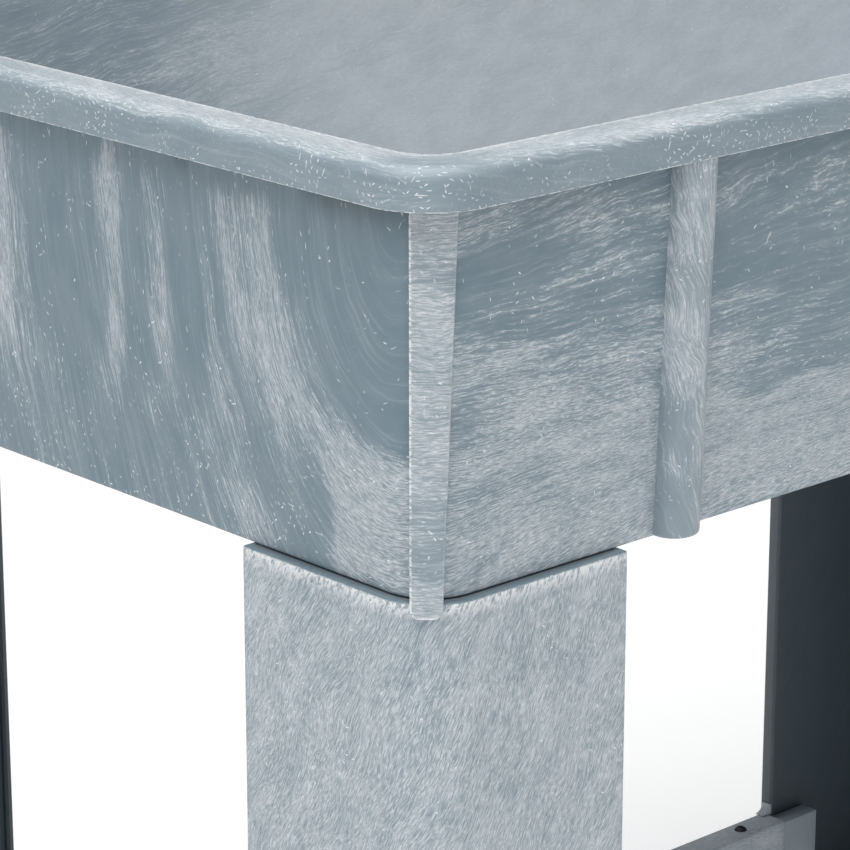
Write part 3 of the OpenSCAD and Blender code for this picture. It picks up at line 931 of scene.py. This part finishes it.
def zinc():
    """Moulded plastic with a zinc swirl: frayed plumes of blue-grey and pale grey, flecks and pale strokes."""
    g = Graph("zinc_swirl")
    flow = g.node("ShaderNodeUVMap", uv_map="flow").outputs["UV"]
    tone = g.node("ShaderNodeAttribute", attribute_name="tone")
    bias, share, soft = g.split(tone.outputs["Color"])[:3]
    edge = tone.outputs["Alpha"]

    wobble = g.vector("SUBTRACT", g.noise(flow, (60.0, 60.0, 1.0), 2.0, colour=True), (0.5, 0.5, 0.5))
    bent = g.vector("ADD", flow, g.vector("MULTIPLY", wobble, (0.003, 0.003, 0.0)))
    calm = g.step(soft, 0.0, 1.0, 1.0, 0.25)

    # plumes with frayed edges
    fibre = g.noise(bent, (26.0, 620.0, 1.0), 4.0, 0.7)
    cloud = g.noise(flow, (5.0, 20.0, 1.0), 5.0, 0.6, 0.3)
    plume = g.added(cloud, 0.60, g.math("ADD", bias, 0.20))
    cover = g.step(g.added(g.math("SUBTRACT", fibre, 0.5), 0.55, plume), 0.35, 0.63)

    # flecks and sparks, more of them on the pale plumes
    mottle = g.math("SUBTRACT", g.noise(flow, (30.0, 75.0, 1.0), 3.0), 0.5)
    grain = g.noise(bent, (150.0, 1450.0, 1.0), 4.0, 0.75)
    asked = g.added(g.math("SUBTRACT", cover, 0.5), 0.30, g.added(mottle, 0.16, grain))
    fleck = g.step(asked, 0.50, 0.68)
    spark = g.step(g.added(g.noise(bent, (300.0, 1700.0, 1.0), 2.0), 0.55, asked), 0.93, 1.03)
    streak = g.step(g.noise(bent, (13.0, 430.0, 1.0), 4.0, 0.7), 0.50, 0.72)

    # single pale strokes, in clusters
    cluster = g.step(g.noise(flow, (34.0, 48.0, 1.0), 3.0), 0.44, 0.62)
    stroke = g.dashes(flow, 0.0040, 0.0022, 0.0007, 3.0, g.times(share, 0.50))
    aside = g.vector("ADD", bent, (0.37, 0.21, 0.0))
    scratch = g.dashes(aside, 0.0110, 0.0052, 0.0006, 4.0, g.times(share, 0.22), 1.2)
    bright = g.times(g.math("MAXIMUM", stroke, scratch), g.added(cluster, 0.75, 0.10))

    level = g.added(cover, 0.07, 0.12)
    for layer, weight in ((g.times(fleck, calm), 0.20), (g.times(spark, calm), 0.28),
                          (g.times(streak, calm), 0.10), (mottle, 0.14), (soft, 0.45)):
        level = g.added(layer, weight, level)

    colour = g.mix(level, DEEP_BLUE, PALE_GREY)
    # painted shade: a strongly negative bias mixes in the dark shade colour
    colour = g.mix(g.step(bias, -0.35, -0.75, 0.0, 0.8), colour, PAINTED_SHADE)
    colour = g.mix(bright, colour, STROKE_WHITE)
    # frayed white along edges: moulding flash, and on the rim's inner edge a painted highlight
    ragged = g.step(g.noise(bent, (230.0, 520.0, 1.0), 3.0, 0.7), 0.41, 0.53)
    colour = g.mix(g.times(g.times(edge, ragged), 0.90), colour, FLASH_AND_HIGHLIGHT_WHITE)

    height = g.math("ADD", g.times(fleck, 0.6), g.math("ADD", bright, g.times(fibre, 0.8)))
    return g.principled(colour, g.added(fleck, 0.10, 0.37), g.bump(height, 0.16, 0.0003), 0.45)


def speckled(name, low, high, rough, grain, specular=0.5, metallic=0.0):
    """Small parts: a fine grain between two colours, with worn lighter spots."""
    g = Graph(name)
    coords = g.node("ShaderNodeTexCoord").outputs["Object"]
    fine = g.noise(coords, (grain, grain, grain), 4.0, 0.7, flat=False)
    worn = g.step(g.noise(coords, (160.0, 160.0, 160.0), 3.0, flat=False), 0.55, 0.75)
    colour = g.mix(g.step(fine, 0.3, 0.7), linear(*low), linear(*high))
    colour = g.mix(g.times(worn, 0.25), colour, linear(*[min(255, c + 45) for c in high]))
    roughness = g.step(fine, 0.3, 0.7, rough, rough + 0.15)
    return g.principled(colour, roughness, g.bump(fine, 0.2, 0.0002), specular, metallic)


ZINC = zinc()


def dress(obj, node):
    """Gives a new piece the zinc material and its body, and lets it stand for a CAD node."""
    obj.data.materials.clear()
    obj.data.materials.append(ZINC)
    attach(obj, "planter")
    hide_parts(node)


# ---------------------------------------------------------------- the planter

def build_tray():
    tray = loft("tray_shell", RINGS, tray_paint)
    cut_drains(tray)
    pieces = [tray]
    pieces += [make_bead("bead_" + name, place, 11.0 + 3 * n) for n, (name, place) in enumerate(CORNERS)]
    for i in (-1, 0, 1):
        for side, back in (("front", 0), ("back", 1)):
            pieces.append(make_rib(f"rib_{side}_{i + 2}", i * RIB_PITCH, back, 21.0 + i + 5 * back))
    # webs, hubs and bosses under the floor take a darker tone as painted shade
    pieces.append(bars("floor_webs", floor_webs(), 0.5 * MM, WEB_SHADE_TONE))

    root = FLOOR_BOTTOM + 0.5 * MM
    hub = ring_profile(DRAIN_D / 2, HUB_D / 2, WEB_BOTTOM, root, 0.6 * MM)
    pieces.append(lathe("drain_hubs", [(-DRAIN_X, 0), (DRAIN_X, 0)], hub, WEB_SHADE_TONE, 64))
    near, far = LEG_INSET + BOSS_FROM_CORNER, LEG_INSET + LEG_ARM - BOSS_FROM_END
    spots = [place(u, v, 0)[:2] for _, place in CORNERS for u, v in ((near, near), (far, near), (near, far))]
    boss = ring_profile(SCREW_HOLE / 2, BOSS_D / 2, LEG_TOP, root, 0.4 * MM)
    pieces.append(lathe("screw_bosses", spots, boss, WEB_SHADE_TONE, 32))
    for piece in pieces:
        dress(piece, "planter_tray")


def build_leg(node, place, n):
    """One leg: skin, end plates, spigot into the tray, and the stub and gusset that carry the rail."""
    pieces = [make_prism(node + "_skin", place, leg_outline(), 0.0, LEG_TOP, LEG_EDGE, 8 * MM,
                         math.radians(114), 5.0 + n, leg_tone)]
    # painted shade: the end plates, spigot and stub sit inside the leg and rail and are toned dark
    for part, low in (("foot", 0.0), ("top", LEG_TOP - PLATE_T)):
        pieces.append(make_prism(f"{node}_{part}_plate", place, plate_outline(), low, low + PLATE_T, 0.5 * MM,
                                 3 * MM, 0.3, 9.0 + n, plain(-0.6)))
    pieces.append(make_prism(node + "_spigot", place, spigot_outline(), LEG_TOP - 1 * MM,
                             FLOOR_BOTTOM - 2 * MM, 0.8 * MM, 4 * MM, 0.3, 9.0 + n, plain(-0.5)))

    free_edge = LEG_INSET + LEG_ARM
    stub_v = RAIL_INSET + RAIL_T + STUB_GAP
    stub_w = RAIL_W - 2 * RAIL_T - 2 * STUB_GAP
    stub = box_outline(stub_v, stub_v + stub_w, rail_low.z + 2 * MM, RAIL_TOP - RAIL_T - STUB_GAP)
    pieces.append(make_prism(node + "_stub", lambda u, v, w: place(w, u, v), stub, free_edge - STUB_ROOT,
                             free_edge + STUB_LEN, 0.5 * MM, 10 * MM, 0.2, 3.0 + n, plain(-0.4)))

    foot, head = RAIL_TOP + STUB_GAP, RAIL_TOP + STUB_GAP + GUSSET
    gusset = [(free_edge - 1 * MM, foot), (free_edge - 1 * MM, head)]
    gusset += arc(free_edge + GUSSET, head, GUSSET - 1 * MM, 180, 270, 6) + [(free_edge + GUSSET, foot)]
    pieces.append(make_prism(node + "_gusset", lambda u, v, w: place(u, w, v), gusset, RAIL_INSET,
                             RAIL_INSET + LIP_D - 2.5 * MM, 0.3 * MM, 3 * MM, 0.2, 3.0 + n, plain(0.05)))
    for piece in pieces:
        dress(piece, node)


def build_rail(node, sy):
    """One rail, a channel with cross webs; sy is -1 in front and 1 at the back."""
    half = (rail_high.x - rail_low.x) / 2

    def place(u, v, w):
        return w, sy * (WIDTH / 2 - RAIL_INSET - u), rail_low.z + v

    rail = make_prism(node + "_channel", place, rail_outline(), -half, half, 0.6 * MM, 9 * MM,
                      math.radians(84), 14.0 + sy, rail_tone)
    dress(rail, node)
    reach = half - STUB_LEN - 5 * MM
    inner_faces = (RAIL_T - 0.5 * MM, RAIL_W - RAIL_T + 0.5 * MM)
    y0, y1 = sorted(sy * (WIDTH / 2 - RAIL_INSET - face) for face in inner_faces)
    low, high = rail_low.z + 4 * MM, RAIL_TOP - RAIL_T + 0.5 * MM
    webs = [((x - RAIL_T / 2, y0, low), (x + RAIL_T / 2, y1, high)) for x in np.linspace(-reach, reach, 5)]
    dress(bars(node + "_webs", webs, 0.4 * MM, WEB_SHADE_TONE), node)


def finish_small_parts():
    """The screws, plugs and seals keep their CAD meshes and get their own materials."""
    screw = speckled("screw_steel", (26, 27, 29), (58, 60, 63), 0.34, 900.0, 0.6, 0.55)
    plug = speckled("plug_plastic", (30, 33, 36), (52, 56, 60), 0.45, 1400.0)
    seal = speckled("seal_rubber", (16, 16, 17), (30, 30, 31), 0.7, 2200.0, 0.3)
    for node, material in (("tray_screws", screw), ("rail_screws", screw), ("drain_plug_left", plug),
                           ("drain_plug_right", plug), ("plug_seal_left", seal), ("plug_seal_right", seal)):
        for material_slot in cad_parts[node].material_slots:
            material_slot.material = material


build_tray()
for n, (name, place) in enumerate(CORNERS):
    build_leg("leg_" + name, place, n)
build_rail("rail_front", -1)
build_rail("rail_back", 1)
finish_small_parts()


# ---------------------------------------------------------------- stage

CAMERA_AZIMUTH = -42.48
CAMERA_PITCH = 17.076
CAMERA_AT = Vector((-1508.1, -1384.1, 1144.6)) * MM
CAMERA_LENS = 148.3
FLOOR_HALF = 30
FLOOR_GLOW = 0.42
SKY_LIGHT = 0.30
SKY_SEEN = 0.70


def add_camera():
    data = bpy.data.cameras.new("camera")
    data.sensor_width = 36.0
    data.lens = CAMERA_LENS
    data.clip_end = 60
    camera = add_object("camera", data)
    camera.location = CAMERA_AT
    camera.rotation_euler = (math.radians(90 - CAMERA_PITCH), 0, math.radians(CAMERA_AZIMUTH))
    bpy.context.scene.camera = camera


def add_floor():
    """Pale paper that glows a little, so that the ground stays near white."""
    corners = [(sx * FLOOR_HALF, sy * FLOOR_HALF, 0) for sx, sy in ((-1, -1), (1, -1), (1, 1), (-1, 1))]
    floor = new_mesh("floor", corners, [(0, 1, 2, 3)])
    g = Graph("floor_pale")
    coords = g.node("ShaderNodeTexCoord").outputs["Object"]
    grain = g.noise(coords, (40.0, 40.0, 40.0), 3.0, flat=False)
    paper = g.mix(grain, (0.90, 0.90, 0.90, 1), (0.93, 0.93, 0.93, 1))
    floor.data.materials.append(g.principled(paper, 0.9, glow=FLOOR_GLOW))


def area_light(name, place, target, side, power):
    """Square light that faces a target."""
    data = bpy.data.lights.new(name, "AREA")
    data.shape = "RECTANGLE"
    data.size = data.size_y = side
    data.energy = power
    light = add_object(name, data)
    light.location = place
    light.rotation_euler = (Vector(target) - Vector(place)).to_track_quat("-Z", "Y").to_euler()


def add_sky():
    """White surroundings, brighter where they are seen than where they light the planter."""
    world = bpy.data.worlds.new("studio")
    bpy.context.scene.world = world
    world.use_nodes = True
    tree = world.node_tree
    tree.nodes.clear()
    path = tree.nodes.new("ShaderNodeLightPath")
    amount = tree.nodes.new("ShaderNodeMapRange")
    amount.inputs["To Min"].default_value = SKY_LIGHT
    amount.inputs["To Max"].default_value = SKY_SEEN
    backdrop = tree.nodes.new("ShaderNodeBackground")
    backdrop.inputs["Color"].default_value = (1, 1, 1, 1)
    end = tree.nodes.new("ShaderNodeOutputWorld")
    tree.links.new(path.outputs["Is Camera Ray"], amount.inputs["Value"])
    tree.links.new(amount.outputs["Result"], backdrop.inputs["Strength"])
    tree.links.new(backdrop.outputs["Background"], end.inputs["Surface"])


add_camera()
add_floor()
area_light("overhead", (-0.9, -0.5, 3.0), (0, 0, 0.7), 3.0, 90)
area_light("front", (-3.2, -2.6, 1.9), (-0.4, -0.2, 0.6), 2.4, 8)
add_sky()
bpy.context.scene.view_settings.view_transform = "Standard"
